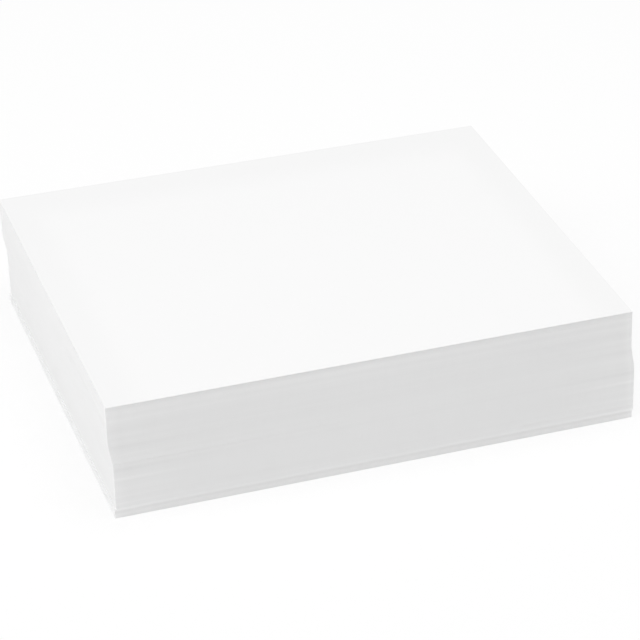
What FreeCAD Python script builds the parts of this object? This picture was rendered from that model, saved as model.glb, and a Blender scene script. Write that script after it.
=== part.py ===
"""A ream of plain office paper, unwrapped: one pile of loose letter-size sheets, squared up by hand.

Millimetres and degrees. X runs along the long edge of the sheets, Y along the short edge, Z up. The origin
is the middle of the lowest sheet, on the surface that the pile stands on. The side towards -Y is its front.
"""
import FreeCAD, Part
import math
import os

NODE = "sheet_stack"

# One sheet
SHEET_SIZES = {
    "sheet_length": 279.4,      # long edge, 11 inches
    "sheet_width": 215.9,       # short edge, 8.5 inches
    "sheet_thickness": 0.122,   # 90 gram paper
}

# The pile, as lifts: a lift is a small handful of sheets that stay flush with each other
PILE_SIZES = {
    "sheet_count": 500,         # one ream
    "lift_sheets": 5,           # sheets in a lift
    "lean_back": 7.0,           # how far the top of the pile stands behind its foot
    "foot_height": 4.0,         # height of the lowest sheets, which the pile above stands out over
    "foot_step": 0.7,           # how far it stands out over them towards +X
    "foot_overhang": 0.15,      # how far it stands out over them towards the front
    "slide_base": 26.2,         # height at which the pile begins to slide back towards -X
    "slide_rise": 16.5,         # height over which it slides
    "slide_reach": 2.0,         # how far it slides
}

# What is left of the sheets' own places after squaring up: each lift is a little off the pile's line. Each
# scatter follows two waves up the pile with no common period, so no pattern shows. An angle is a wave's step
# per lift.
SCATTER_SIZES = {
    "scatter_along": 0.03,      # largest shift of a lift along X
    "scatter_across": 0.025,    # largest shift of a lift along Y
    "scatter_turn": 0.026,      # largest turn of a lift, in degrees
    "along_angle": 29.0,
    "across_angle": 35.0,
    "turn_angle": 25.0,
    "second_angle": 7.3,
}

SIZES = {**SHEET_SIZES, **PILE_SIZES, **SCATTER_SIZES}


def add_sizes(doc):
    """The sheet of driving sizes: a name in the first column and its number in the second."""
    sheet = doc.addObject("Spreadsheet::Sheet", "sizes")
    for row, (name, value) in enumerate(SIZES.items(), start=1):
        sheet.set(f"A{row}", name)
        sheet.set(f"B{row}", str(value))
        sheet.setAlias(f"B{row}", name)
    doc.recompute()
    return sheet


def ramp(height, start, rise):
    """An expression that goes from 0 to 1 with soft ends while the height goes from start over rise."""
    share = f"max(0; min(1; ({height} - {start}) / {rise}))"
    return f"({share})^2 * (3 - 2 * {share})"


def scatter(number, reach, angle):
    """An expression for how far a lift is off the pile's line: nothing at the foot, up to the reach above."""
    return f"sizes.{reach} * sin({number} * sizes.{angle}) * cos({number} * sizes.second_angle)"


def lift_place(number):
    """The placement of a lift, counted from the foot: the pile's line at its height, and its own scatter."""
    base = f"{number} * sizes.lift_sheets * sizes.sheet_thickness"
    pile_height = "sizes.sheet_count * sizes.sheet_thickness"

    above_foot = f"({base} > sizes.foot_height ? 1 : 0)"
    slid = ramp(base, "sizes.slide_base", "sizes.slide_rise")
    along = (f"sizes.foot_step * {above_foot} - sizes.slide_reach * {slid}"
             f" + {scatter(number, 'scatter_along', 'along_angle')}")
    across = (f"sizes.lean_back * {base} / ({pile_height}) - sizes.foot_overhang * {above_foot}"
              f" + {scatter(number, 'scatter_across', 'across_angle')}")
    turn = scatter(number, "scatter_turn", "turn_angle")

    corner = f"vector({along} - sizes.sheet_length / 2; {across} - sizes.sheet_width / 2; {base})"
    rotation = f"rotation(vector(0; 0; 1); {turn})"
    centre = "vector(sizes.sheet_length / 2; sizes.sheet_width / 2; 0)"
    return f"placement({corner}; {rotation}; {centre})"


def add_lift(doc, number):
    """One lift of flush sheets, lying on the lift below it. The topmost holds what is left of the ream."""
    sheets = f"min(sizes.lift_sheets; sizes.sheet_count - {number} * sizes.lift_sheets)"
    lift = doc.addObject("Part::Box", f"lift_{number:03d}")
    lift.setExpression("Length", "sizes.sheet_length")
    lift.setExpression("Width", "sizes.sheet_width")
    lift.setExpression("Height", f"{sheets} * sizes.sheet_thickness")
    lift.setExpression("Placement", lift_place(number))
    return lift


def add_sheet_stack(doc, sheet):
    """The whole pile: its lifts, joined face to face into one solid."""
    lift_count = math.ceil(sheet.sheet_count / sheet.lift_sheets)
    stack = doc.addObject("Part::MultiFuse", NODE)
    stack.Shapes = [add_lift(doc, number) for number in range(lift_count)]
    stack.Refine = False
    stack.Label = NODE
    return stack


def check(doc, sub_parts):
    """Stops if an object failed, or if a sub-part isn't one sound solid."""
    for item in doc.Objects:
        if "Invalid" in item.State or "Error" in item.State:
            raise RuntimeError(f"{item.Name} failed: {item.State}")
    for item in sub_parts:
        if item.Shape.isNull() or not item.Shape.isValid() or len(item.Shape.Solids) != 1:
            raise RuntimeError(f"{item.Label} isn't one sound solid")


def main():
    doc = FreeCAD.newDocument("ream_of_paper")
    sheet = add_sizes(doc)
    sub_parts = [add_sheet_stack(doc, sheet)]
    doc.recompute()
    check(doc, sub_parts)
    os.makedirs("parts", exist_ok=True)
    for item in sub_parts:
        item.Shape.exportStep(os.path.join("parts", f"{item.Label}.step"))
        box = item.Shape.BoundBox
        print(f"{item.Label}: {box.XLength:.2f} x {box.YLength:.2f} x {box.ZLength:.2f} mm,",
              f"{item.Shape.Volume / 1000:.1f} cm3, {len(item.Shape.Faces)} faces")


main()
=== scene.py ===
"""A ream of plain white paper, unwrapped: its sheets, the look of the paper, and a white studio."""
import math

import bpy
import numpy as np
from mathutils import Matrix, Vector


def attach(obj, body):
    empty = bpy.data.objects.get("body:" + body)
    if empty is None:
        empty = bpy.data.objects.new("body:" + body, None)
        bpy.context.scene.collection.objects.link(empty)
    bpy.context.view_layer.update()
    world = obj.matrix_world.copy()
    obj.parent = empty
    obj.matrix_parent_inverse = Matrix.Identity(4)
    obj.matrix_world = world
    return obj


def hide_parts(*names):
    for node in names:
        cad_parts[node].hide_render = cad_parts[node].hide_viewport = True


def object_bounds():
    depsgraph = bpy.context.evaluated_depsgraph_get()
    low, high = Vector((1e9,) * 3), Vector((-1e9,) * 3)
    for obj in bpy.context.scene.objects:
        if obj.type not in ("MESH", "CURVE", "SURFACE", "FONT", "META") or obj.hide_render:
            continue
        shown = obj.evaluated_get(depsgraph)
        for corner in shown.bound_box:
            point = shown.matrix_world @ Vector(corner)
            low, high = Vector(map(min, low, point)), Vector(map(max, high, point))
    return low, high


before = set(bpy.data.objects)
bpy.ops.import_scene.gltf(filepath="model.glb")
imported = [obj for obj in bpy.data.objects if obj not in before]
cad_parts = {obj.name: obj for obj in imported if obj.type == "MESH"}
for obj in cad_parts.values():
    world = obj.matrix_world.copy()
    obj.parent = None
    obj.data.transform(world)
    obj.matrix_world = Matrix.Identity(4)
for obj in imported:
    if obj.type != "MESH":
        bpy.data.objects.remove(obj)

MM = 0.001
NODE = "sheet_stack"

# The sheets, each in its place in the pile
SHEETS_IN_LIFT = 5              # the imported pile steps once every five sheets
SHEET_SHIFT = 0.005 * MM        # how far one sheet is off its lift, as a usual error
SHEET_TURN = math.radians(0.004)
STRAY_SHARE = 0.015             # share of the sheets that lie clearly out of line
STRAY_SHIFT = 0.025 * MM
STRAY_TURN = math.radians(0.025)
HEAVE = 0.07 * MM               # how far a layer rises and falls along its length, at half height
HEAVE_WAVES = (                 # radians per metre along x, y and z, and the angle that the wave starts at
    (31, 0, 190, 0),
    (0, 47, -260, 1.3),
    (74, -23, 420, 0),
)
PLACE_SEED = 500
WALL_HEIGHT = 0.1 * MM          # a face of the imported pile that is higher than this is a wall

# The front, from the foot up: height in the pile, and how far the sheets there stand out, in millimetres
FRONT_PROFILE = (
    (0.0, 0.22),                # the lowest sheets
    (1.8, 0.16),
    (2.8, 0.0),
    (3.95, 0.0),
    (4.05, 0.12),               # a lip over them
    (7.0, 0.0),
    (60.6, 0.0),
    (60.65, 0.25),              # the topmost sheets, which cast a thin shadow line
    (61.0, 0.25),
)

# Painted light and shade as streaks on the cut edges, from the foot up: height and reach in millimetres, and
# how much paler than usual they are at the pile's corners, where the sheets splay and part, and between the
# corners. Paler is painted light, darker is painted shade.
HANDFUL_LIGHT_AND_SHADE = (
    (1.5, 1.0, 3.4, 3.0),
    (2.9, 0.6, -2.4, -0.6),
    (4.5, 0.9, 11.0, 6.0),
    (5.5, 3.0, 0.3, 2.0),
    (7.6, 0.7, 2.5, 0.5),
    (11.3, 0.8, 2.5, 0.3),
    (13.6, 0.7, -0.8, 0.0),
    (16.2, 1.1, 1.5, 0.0),
    (19.2, 0.8, -1.2, 0.0),
    (21.0, 0.8, 5.0, 0.4),
    (26.0, 1.2, -3.2, -0.4),
    (30.4, 0.8, 1.2, 0.0),
    (34.2, 1.5, 1.2, 0.0),
    (38.6, 1.1, -3.2, -0.6),
    (41.0, 0.6, 0.8, 0.0),
    (45.0, 0.9, 1.8, 0.2),
    (47.9, 1.0, -2.0, -0.4),
    (52.8, 0.9, 1.5, 0.8),
    (54.0, 5.0, 1.4, 1.2),
    (57.2, 1.4, 3.4, 3.2),
)

LIGHT_AND_SHADE_STEP = 0.08                # paleness of one step of the painted light and shade above
CORNER_LIGHT_AND_SHADE = (0.12, -0.06)    # painted light at the corners and painted shade between them, added to every streak
SHEET_TONE = 0.04               # how far a single sheet's own paleness is off, as a usual error
TONE_SEED = 61

# The mesh and its map for baked colours
LONG_STEPS = 20                 # steps of an outline along a long edge
SHORT_STEPS = 16                # steps along a short edge
MAP_GAP = 6 * MM                # clear strip between two faces in the map
EDGE_SHARE = 0.9                # share of a sheet's strip in the map for its cut edge: the rest is its ledge

# The paper: its colour goes from toned to pale. Waves are per metre, along x, y and z.
TONED = (0.805, 0.805, 0.805, 1)
PALE = (0.905, 0.905, 0.905, 1)
PALENESS = 0.8                  # usual share of the pale colour
BORDER_SHADE = 0.17              # painted shade: how much darker an outer sheet is at its border
BORDER_WIDTH = 28 * MM
BORDER_CORE = 0.3               # share of the width that is fully shaded
BORDER_BLEND = 12 * MM          # rounds the inner corners of the border
BACK_SHARE = 0.75               # the border is wider at the back: distances from there count this much
CLOUD_WAVES = (35, 35, 35)
CLOUD_TONE = 0.06
FIBRE_WAVES = (1500, 1500, 1500)
FIBRE_TONE = 0.1
FIBRE_HEIGHT = 0.02 * MM
FIBRE_RELIEF = 0.3              # strength of the bumps that the fibres make
ROUGHNESS = 0.9
FIBRE_ROUGHNESS = 0.12
SPECULAR = 0.25

# The cut edges
STREAK_WAVES = (2, 2, 260)
STREAK_TONE = 0.18              # strength of the finer streaks
CORNER_STREAK_TONE = 0.25       # what is added to it at the corners
CORNER_START = 0.45             # where the corners' streaks begin, as a share of half a side from its middle
CORNER_FADE = 3.0               # how fast they fade away from the corner, as a power
SHORT_SIDE_STREAKS = 0.4        # strength of the streaks on the short sides, as a share
CORNER_PAINTED_LIGHT = 0.35              # painted light: how much paler the edges are right at the pile's upright corners
CORNER_LIGHT_START = 0.95
KNIFE_WAVES = (700, 700, 9)
KNIFE_TONE = 0.12
FOOT_PAINTED_LIGHT = 0.4                 # painted light: how much paler the lowest sheets are at the short sides
FOOT_SHARES = (0.03, 0.11)      # shares of the pile's height between which that fades
LEDGE_PAINTED_LIGHT = 2.25               # the same painted light for the ledges there, as a multiple
LONG_SIDE_SHARE = 0.98          # this far off the middle across, the look of the long sides sets in
OUTER_SHARE = 0.9999            # what is further than this off the middle height is one of the outer faces

# The studio
FLOOR_SIDE = 8.0
FLOOR_GAP = 0.02 * MM           # the pile stands this far clear of the floor, so that the two don't flicker
FLOOR_WHITE = (0.95, 0.95, 0.95, 1)
FLOOR_LIFT = 0.78               # share of plain white in what the camera sees of the floor
AMBIENT = 0.528
SOFT_BOXES = (                  # name, place, side and power in watts
    ("overhead_box", (0.28, -0.06, 1.32), 1.2, 7.7),
    ("left_box", (-1.8, -0.15, 1.6), 1.6, 18.9),
)
LAMP_TARGET = (0, 0, 30 * MM)

# The camera, fitted to the corners of the pile in the photograph
PHOTO_SIDE = 640
SENSOR = 36.0
FOCAL_PIXELS = 2557.4
YAW = math.radians(20.105)
PITCH = math.radians(31.932)
ROLL = math.radians(-0.886)
TARGET_IN_VIEW = (-8.65 * MM, 16.58 * MM, 1386.7 * MM)   # right, down and away from the camera


def read_lifts(node):
    """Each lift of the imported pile, from the foot up: low, high, and corners from the front left round."""
    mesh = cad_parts[node].data
    walls = {}
    for face in mesh.polygons:
        points = [mesh.vertices[index].co for index in face.vertices]
        low, high = min(p.z for p in points), max(p.z for p in points)
        if high - low > WALL_HEIGHT:
            walls.setdefault(round(low, 6), []).extend(points)
    lifts = []
    for low in sorted(walls):
        points = np.array(walls[low])
        across, along = points[:, 0] + points[:, 1], points[:, 0] - points[:, 1]
        picks = across.argmin(), along.argmax(), across.argmax(), along.argmin()
        lifts.append((low, points[:, 2].max(), points[list(picks), :2]))
    return lifts


def place_sheets(lifts):
    """(low, high, corners) of each sheet, from the foot up. Each is a little off its lift, some are more."""
    random = np.random.default_rng(PLACE_SEED)
    heights, reaches = np.array(FRONT_PROFILE).T * MM
    sheets = []
    for low, high, corners in lifts:
        middle = corners.mean(axis=0)
        thickness = (high - low) / SHEETS_IN_LIFT
        for number in range(SHEETS_IN_LIFT):
            base = low + number * thickness
            stray = random.random() < STRAY_SHARE
            shift = random.normal(0, SHEET_SHIFT, 2) + stray * random.normal(0, STRAY_SHIFT, 2)
            shift[1] -= np.interp(base + thickness / 2, heights, reaches)
            turn = random.normal(0, SHEET_TURN) + stray * random.normal(0, STRAY_TURN)
            turned = np.array(((math.cos(turn), math.sin(turn)), (-math.sin(turn), math.cos(turn))))
            sheets.append((base, base + thickness, (corners - middle) @ turned + middle + shift))
    return sheets


def streak_light_and_shade(height):
    """Painted light and shade: how much paler than usual a cut edge at this height is at the pile's corners,
    and between them.
    """
    paleness_by_place = np.array(CORNER_LIGHT_AND_SHADE)
    for middle, reach, at_corner, between in HANDFUL_LIGHT_AND_SHADE:
        share = math.exp(-(((height / MM - middle) / reach) ** 2))
        paleness_by_place += LIGHT_AND_SHADE_STEP * share * np.array((at_corner, between))
    return paleness_by_place


def outline_shares():
    """An outline's points, as shares of a sheet's length and width, from the front left round."""
    long_way = np.linspace(0, 1, LONG_STEPS + 1)[:-1]
    short_way = np.linspace(0, 1, SHORT_STEPS + 1)[:-1]
    front = np.stack((long_way, np.zeros(LONG_STEPS)), axis=1)
    right = np.stack((np.ones(SHORT_STEPS), short_way), axis=1)
    return np.concatenate((front, right, 1 - front, 1 - right))


def on_sheet(corners, shares):
    """Points of a sheet at these shares of its length and width."""
    u, v = shares[:, :1], shares[:, 1:]
    front = corners[0] * (1 - u) + corners[1] * u
    back = corners[3] * (1 - u) + corners[2] * u
    return front * (1 - v) + back * v


def heave(points, height, top):
    """How far a layer at this height is lifted or pressed down at each point: nothing at foot and top."""
    share = height / top
    bulge = 4 * share * (1 - share)
    x, y = points[:, 0], points[:, 1]
    waves = sum(np.sin(a * x + b * y + c * height + start) for a, b, c, start in HEAVE_WAVES)
    return HEAVE * bulge * waves / len(HEAVE_WAVES)


def map_places(length, width):
    """Each side's place in the square map: left, foot, width and height. The walls are stretched upwards."""
    side = 2 * length + 3 * MAP_GAP
    wall = (side - width - 4 * MAP_GAP) / 2
    columns = (MAP_GAP, length + 2 * MAP_GAP)
    rows = (MAP_GAP, wall + 2 * MAP_GAP, 2 * wall + 3 * MAP_GAP)
    places = {
        "front": (columns[0], rows[0], length, wall),
        "back": (columns[0], rows[1], length, wall),
        "top": (columns[0], rows[2], length, width),
        "left": (columns[1], rows[0], width, wall),
        "right": (columns[1], rows[1], width, wall),
        "bottom": (columns[1], rows[2], length, width),
    }
    return {name: [value / side for value in place] for name, place in places.items()}


def wall_map(places, rows):
    """The map points of every wall face, row by row from the foot up."""
    starts, ends, feet, heights = [], [], [], []
    for name in ("front", "right", "back", "left"):
        left, foot, width, height = places[name]
        steps = LONG_STEPS if name in ("front", "back") else SHORT_STEPS
        starts += [left + width * step / steps for step in range(steps)]
        ends += [left + width * (step + 1) / steps for step in range(steps)]
        feet += [foot] * steps
        heights += [height] * steps
    row = np.arange(rows)
    share = (row // 2 + EDGE_SHARE * (row % 2)) / (rows / 2)
    levels = np.array(feet) + np.outer(share, heights)
    starts = np.broadcast_to(starts, levels[1:].shape)
    ends = np.broadcast_to(ends, levels[1:].shape)
    low, high = levels[:-1], levels[1:]
    corners = ((starts, low), (ends, low), (ends, high), (starts, high))
    return np.stack([np.stack(corner, axis=-1) for corner in corners], axis=-2).reshape(-1, 4, 2)


def build_cap(sheet, place, row, ring, next_point):
    """The outer face of the lowest or topmost sheet: a grid whose border is the outline in that row.

    Gives its inner points, their shares of the sheet, its faces and the faces' points in the map.
    """
    low, high, corners = sheet
    at_top = row > 0
    across, along = np.mgrid[1:SHORT_STEPS, 1:LONG_STEPS]
    inner = np.column_stack((along.ravel() / LONG_STEPS, across.ravel() / SHORT_STEPS))
    points = np.column_stack((on_sheet(corners, inner), np.full(len(inner), high if at_top else low)))

    def index(i, j):
        if j == 0:
            step = i
        elif i == LONG_STEPS:
            step = LONG_STEPS + j
        elif j == SHORT_STEPS:
            step = LONG_STEPS + SHORT_STEPS + LONG_STEPS - i
        elif i == 0:
            step = ring - j
        else:
            return next_point + (j - 1) * (LONG_STEPS - 1) + i - 1
        return row * ring + step % ring

    left, foot, width, height = place
    faces, in_map = [], []
    for j in range(SHORT_STEPS):
        for i in range(LONG_STEPS):
            square = [(i, j), (i + 1, j), (i + 1, j + 1), (i, j + 1)]
            if not at_top:
                square.reverse()
            faces.append([index(*corner) for corner in square])
            in_map.append([(left + width * a / LONG_STEPS, foot + height * b / SHORT_STEPS)
                           for a, b in square])
    return points, inner, faces, in_map


def build_pile(lifts):
    """The pile's whole surface: the cut edges of the sheets, the ledges between them, and the outer faces."""
    sheets = place_sheets(lifts)
    top = sheets[-1][1]
    shares = outline_shares()
    ring = len(shares)
    points, on_sheets = [], []
    for low, high, corners in sheets:
        flat = on_sheet(corners, shares)
        for height in (low, high):
            points.append(np.column_stack((flat, height + heave(flat, height, top))))
            on_sheets.append(np.column_stack((shares, np.full(ring, height / top))))

    rows = len(points)
    first = (np.arange(rows - 1)[:, None] * ring + np.arange(ring)).ravel()
    after = (np.arange(rows - 1)[:, None] * ring + (np.arange(ring) + 1) % ring).ravel()
    faces = np.stack((first, after, after + ring, first + ring), axis=1).tolist()
    front_left, front_right, _, back_left = lifts[0][2]
    places = map_places(math.dist(front_left, front_right), math.dist(front_left, back_left))
    in_map = [wall_map(places, rows)]
    own_tones = np.random.default_rng(TONE_SEED).normal(0, SHEET_TONE, len(sheets))
    # the streaks' painted light and shade, plus each sheet's own tone
    shades_at_corners, shades_between = np.array([streak_light_and_shade((low + high) / 2) for low, high, _ in sheets]).T
    sheet_numbers = np.repeat(np.arange(rows - 1) // 2, ring)
    paleness_by_place = {"corner_shade_and_tone": (shades_at_corners + own_tones)[sheet_numbers],
             "middle_shade_and_tone": (shades_between + own_tones)[sheet_numbers]}

    for name, sheet, row in (("bottom", sheets[0], 0), ("top", sheets[-1], rows - 1)):
        next_point = sum(len(p) for p in points)
        cap_points, cap_shares, cap_faces, cap_map = build_cap(sheet, places[name], row, ring, next_point)
        points.append(cap_points)
        on_sheets.append(np.column_stack((cap_shares, np.full(len(cap_shares), min(row, 1)))))
        faces += cap_faces
        in_map.append(cap_map)

    mesh = bpy.data.meshes.new("paper_sheets")
    mesh.from_pydata(np.concatenate(points).tolist(), [], faces)
    share = mesh.attributes.new("sheet_share", "FLOAT_VECTOR", "POINT")
    share.data.foreach_set("vector", np.concatenate(on_sheets).ravel())
    for name, values in paleness_by_place.items():
        tone = mesh.attributes.new(name, "FLOAT", "FACE")
        tone.data.foreach_set("value", np.pad(values, (0, len(faces) - len(values))))
    layer = mesh.uv_layers.new(name="OFBake")
    layer.data.foreach_set("uv", np.concatenate(in_map).ravel())
    mesh.update()
    pile = bpy.data.objects.new("paper_sheets", mesh)
    bpy.context.collection.objects.link(pile)
    return pile


class Shading:
    """Adds nodes to a material. Each call gives back the socket that carries its result."""

    def __init__(self, tree):
        self.tree = tree

    def feed(self, socket, value):
        if isinstance(value, bpy.types.NodeSocket):
            self.tree.links.new(value, socket)
        else:
            socket.default_value = value

    def math(self, operation, *values):
        node = self.tree.nodes.new("ShaderNodeMath")
        node.operation = operation
        for socket, value in zip(node.inputs, values):
            self.feed(socket, value)
        return node.outputs[0]

    def ease(self, value, low, high, at_low, at_high):
        """Goes smoothly from one number to another while the value goes from low to high."""
        node = self.tree.nodes.new("ShaderNodeMapRange")
        node.interpolation_type = "SMOOTHSTEP"
        for socket, number in zip(node.inputs, (value, low, high, at_low, at_high)):
            self.feed(socket, number)
        return node.outputs[0]

    def noise(self, place, scales, detail=2.0):
        """Noise round nought, with its own number of waves per metre along x, y and z."""
        stretch = self.tree.nodes.new("ShaderNodeVectorMath")
        stretch.operation = "MULTIPLY"
        self.feed(stretch.inputs[0], place)
        self.feed(stretch.inputs[1], scales)
        node = self.tree.nodes.new("ShaderNodeTexNoise")
        self.feed(node.inputs["Vector"], stretch.outputs[0])
        node.inputs["Scale"].default_value = 1.0
        node.inputs["Detail"].default_value = detail
        return self.math("SUBTRACT", node.outputs["Fac"], 0.5)

    def mix(self, share, at_nought, at_one):
        node = self.tree.nodes.new("ShaderNodeMix")
        node.data_type = "FLOAT"
        for name, value in (("Factor", share), ("A", at_nought), ("B", at_one)):
            self.feed(node.inputs[name], value)
        return node.outputs["Result"]

    def parts(self, vector):
        node = self.tree.nodes.new("ShaderNodeSeparateXYZ")
        self.feed(node.inputs[0], vector)
        return node.outputs

    def attribute(self, name, output):
        node = self.tree.nodes.new("ShaderNodeAttribute")
        node.attribute_name = name
        return node.outputs[output]


def off_middle(shading, share):
    """How far a share of the sheet is off its middle: 0 there and 1 at the edge."""
    return shading.math("ABSOLUTE", shading.math("MULTIPLY_ADD", share, 2.0, -1.0))


def paper_material(length, width):
    """Uncoated office paper: matt and white, with painted shade at its border, and on cut edges fine streaks
    of its own tone and of painted light and shade.
    """
    material = bpy.data.materials.new("office_paper")
    material.use_nodes = True
    tree = material.node_tree
    shader = tree.nodes["Principled BSDF"]
    shader.inputs["Specular IOR Level"].default_value = SPECULAR
    shading = Shading(tree)
    place = tree.nodes.new("ShaderNodeTexCoord").outputs["Object"]
    normal = shading.parts(tree.nodes.new("ShaderNodeNewGeometry").outputs["True Normal"])
    cut = shading.math("LESS_THAN", shading.math("ABSOLUTE", normal[2]), 0.5)
    along, across, height = shading.parts(shading.attribute("sheet_share", "Vector"))
    from_middle_x = off_middle(shading, along)
    from_middle_y = off_middle(shading, across)

    # The flat faces: faint clouds from the making of the paper, and on the two outer sheets painted shade
    # along the border at the ends and the back
    clouds = shading.noise(place, CLOUD_WAVES, 3.0)
    to_end = shading.math("MULTIPLY_ADD", from_middle_x, -length / 2, length / 2)
    to_back = shading.math("MULTIPLY_ADD", across, -BACK_SHARE * width, BACK_SHARE * width)
    to_border = shading.math("SMOOTH_MIN", to_end, to_back, BORDER_BLEND)
    outer = shading.math("GREATER_THAN", off_middle(shading, height), OUTER_SHARE)
    # painted shade: the outer sheets are darkened along their border
    border = shading.ease(to_border, BORDER_CORE * BORDER_WIDTH, BORDER_WIDTH, BORDER_SHADE, 0.0)
    border = shading.math("MULTIPLY", border, outer)
    flat_tone_and_shade = shading.math("SUBTRACT", shading.math("MULTIPLY", clouds, CLOUD_TONE), border)

    # The cut edges: streaks along the sheets, partly their own tone and partly painted light and shade, most
    # at the corners of the front and back, and knife marks
    to_corner = shading.math("MINIMUM", from_middle_x, from_middle_y)
    long_side = shading.ease(from_middle_y, LONG_SIDE_SHARE, 1.0, SHORT_SIDE_STREAKS, 1.0)
    near_corner = shading.math("POWER", shading.ease(to_corner, CORNER_START, 1.0, 0.0, 1.0), CORNER_FADE)
    near_corner = shading.math("MULTIPLY", near_corner, long_side)
    streaks = shading.mix(near_corner, shading.attribute("middle_shade_and_tone", "Fac"),
                          shading.attribute("corner_shade_and_tone", "Fac"))
    streaks = shading.math("MULTIPLY", streaks, long_side)
    strength = shading.math("MULTIPLY_ADD", near_corner, CORNER_STREAK_TONE, STREAK_TONE)
    streaks = shading.math("MULTIPLY_ADD", shading.noise(place, STREAK_WAVES), strength, streaks)
    # painted light right at the pile's upright corners
    painted_corner_light = shading.math("MULTIPLY", shading.ease(to_corner, CORNER_LIGHT_START, 1.0, 0.0, CORNER_PAINTED_LIGHT), long_side)
    streaks = shading.math("ADD", streaks, painted_corner_light)
    edge_tone_and_shade = shading.math("MULTIPLY_ADD", shading.noise(place, KNIFE_WAVES), KNIFE_TONE, streaks)

    # Painted light: the lowest sheets at the short sides, and more so their ledges, are painted paler, as if
    # light from the floor shone through them
    short_side = shading.ease(from_middle_y, LONG_SIDE_SHARE, 1.0, 1.0, 0.0)
    painted_foot_light = shading.math("MULTIPLY", shading.ease(height, *FOOT_SHARES, FOOT_PAINTED_LIGHT, 0.0), short_side)
    painted_foot_light = shading.math("MULTIPLY", painted_foot_light, shading.mix(cut, LEDGE_PAINTED_LIGHT, 1.0))
    painted_foot_light = shading.math("MULTIPLY", painted_foot_light, shading.math("SUBTRACT", 1.0, outer))
    fibres = shading.noise(place, FIBRE_WAVES, 3.0)
    paleness = shading.mix(cut, flat_tone_and_shade, edge_tone_and_shade)
    paleness = shading.math("ADD", paleness, painted_foot_light)
    paleness = shading.math("MULTIPLY_ADD", fibres, FIBRE_TONE, paleness)
    paleness = shading.math("ADD", paleness, PALENESS)
    colour = tree.nodes.new("ShaderNodeMix")
    colour.data_type = "RGBA"
    colour.clamp_factor = False
    shading.feed(colour.inputs["Factor"], paleness)
    colour.inputs["A"].default_value = TONED
    colour.inputs["B"].default_value = PALE
    tree.links.new(colour.outputs["Result"], shader.inputs["Base Color"])

    roughness = shading.math("MULTIPLY_ADD", fibres, FIBRE_ROUGHNESS, ROUGHNESS)
    tree.links.new(roughness, shader.inputs["Roughness"])
    bump = tree.nodes.new("ShaderNodeBump")
    bump.inputs["Strength"].default_value = FIBRE_RELIEF
    bump.inputs["Distance"].default_value = FIBRE_HEIGHT
    shading.feed(bump.inputs["Height"], fibres)
    tree.links.new(bump.outputs["Normal"], shader.inputs["Normal"])
    return material


def camera_only(tree):
    """1 for what the camera sees, straight or in a gloss or glass, and 0 for light falling on the pile."""
    path = tree.nodes.new("ShaderNodeLightPath")
    shading = Shading(tree)
    seen = shading.math("MAXIMUM", path.outputs["Is Camera Ray"], path.outputs["Is Glossy Ray"])
    return shading.math("MAXIMUM", seen, path.outputs["Is Transmission Ray"])


def add_floor(height):
    """A plain white floor that keeps a faint shadow of the pile."""
    half = FLOOR_SIDE / 2
    mesh = bpy.data.meshes.new("floor")
    corners = [(-half, -half, height), (half, -half, height), (half, half, height), (-half, half, height)]
    mesh.from_pydata(corners, [], [(0, 1, 2, 3)])
    floor = bpy.data.objects.new("floor", mesh)
    bpy.context.collection.objects.link(floor)
    material = bpy.data.materials.new("white_floor")
    material.use_nodes = True
    tree = material.node_tree
    tree.nodes.clear()
    diffuse = tree.nodes.new("ShaderNodeBsdfDiffuse")
    diffuse.inputs["Color"].default_value = FLOOR_WHITE
    white = tree.nodes.new("ShaderNodeEmission")
    mix = tree.nodes.new("ShaderNodeMixShader")
    tree.links.new(Shading(tree).math("MULTIPLY", camera_only(tree), FLOOR_LIFT), mix.inputs[0])
    tree.links.new(diffuse.outputs[0], mix.inputs[1])
    tree.links.new(white.outputs[0], mix.inputs[2])
    out = tree.nodes.new("ShaderNodeOutputMaterial")
    tree.links.new(mix.outputs[0], out.inputs["Surface"])
    mesh.materials.append(material)


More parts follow.
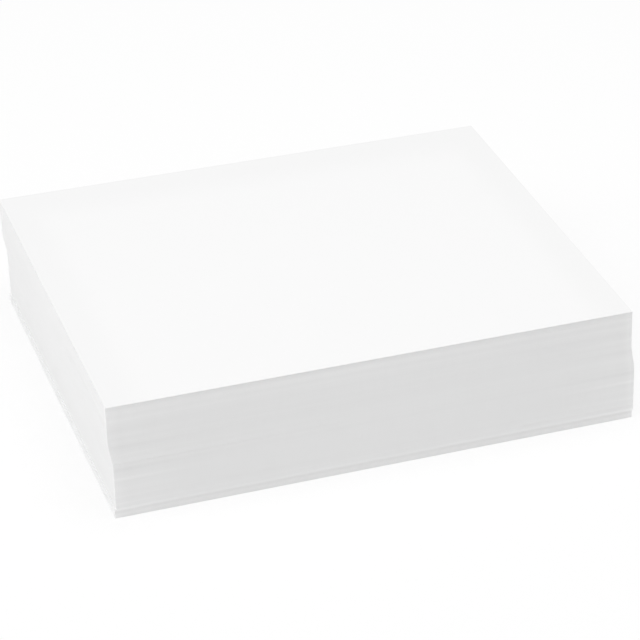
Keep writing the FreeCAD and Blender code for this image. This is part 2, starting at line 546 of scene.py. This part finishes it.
def add_world():
    """Even white light from all round, with a plain white background."""
    world = bpy.data.worlds.new("studio")
    bpy.context.scene.world = world
    world.use_nodes = True
    tree = world.node_tree
    tree.nodes.clear()
    light = tree.nodes.new("ShaderNodeBackground")
    light.inputs["Strength"].default_value = AMBIENT
    white = tree.nodes.new("ShaderNodeBackground")
    for shade in (light, white):
        shade.inputs["Color"].default_value = (1, 1, 1, 1)
    mix = tree.nodes.new("ShaderNodeMixShader")
    tree.links.new(camera_only(tree), mix.inputs[0])
    tree.links.new(light.outputs[0], mix.inputs[1])
    tree.links.new(white.outputs[0], mix.inputs[2])
    out = tree.nodes.new("ShaderNodeOutputWorld")
    tree.links.new(mix.outputs[0], out.inputs["Surface"])


def add_soft_box(name, place, side, power):
    """A square soft box that points at the pile."""
    lamp = bpy.data.lights.new(name, "AREA")
    lamp.shape = "SQUARE"
    lamp.size = side
    lamp.energy = power
    box = bpy.data.objects.new(name, lamp)
    box.location = place
    box.rotation_euler = (Vector(LAMP_TARGET) - Vector(place)).to_track_quat("-Z", "Y").to_euler()
    bpy.context.collection.objects.link(box)


def add_camera(target):
    """The photograph's view of the pile. The target is the point of the floor under the top's middle."""
    forward = Vector((math.sin(YAW) * math.cos(PITCH), math.cos(YAW) * math.cos(PITCH), -math.sin(PITCH)))
    level = Vector((math.cos(YAW), -math.sin(YAW), 0))
    steep = forward.cross(level)
    right = math.cos(ROLL) * level + math.sin(ROLL) * steep
    down = math.cos(ROLL) * steep - math.sin(ROLL) * level
    aside, below, away = TARGET_IN_VIEW
    place = Vector(target) - right * aside - down * below - forward * away
    camera = bpy.data.cameras.new("camera")
    camera.sensor_width = SENSOR
    camera.lens = FOCAL_PIXELS / PHOTO_SIDE * SENSOR
    camera.clip_start = 0.01
    rig = bpy.data.objects.new("camera", camera)
    rig.matrix_world = Matrix.Translation(place) @ Matrix((right, -down, -forward)).transposed().to_4x4()
    bpy.context.collection.objects.link(rig)
    bpy.context.scene.camera = rig


cad_low, cad_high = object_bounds()
lifts = read_lifts(NODE)
pile = build_pile(lifts)
foot_corners = lifts[0][2]
sheet_length = math.dist(foot_corners[0], foot_corners[1])
sheet_width = math.dist(foot_corners[0], foot_corners[3])
pile.data.materials.append(paper_material(sheet_length, sheet_width))
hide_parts(NODE)
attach(pile, "root")

top_middle = lifts[-1][2].mean(axis=0)
add_camera((top_middle[0], top_middle[1], 0))
add_floor(cad_low[2] - FLOOR_GAP)
add_world()
for box in SOFT_BOXES:
    add_soft_box(*box)
bpy.context.scene.view_settings.view_transform = "Standard"
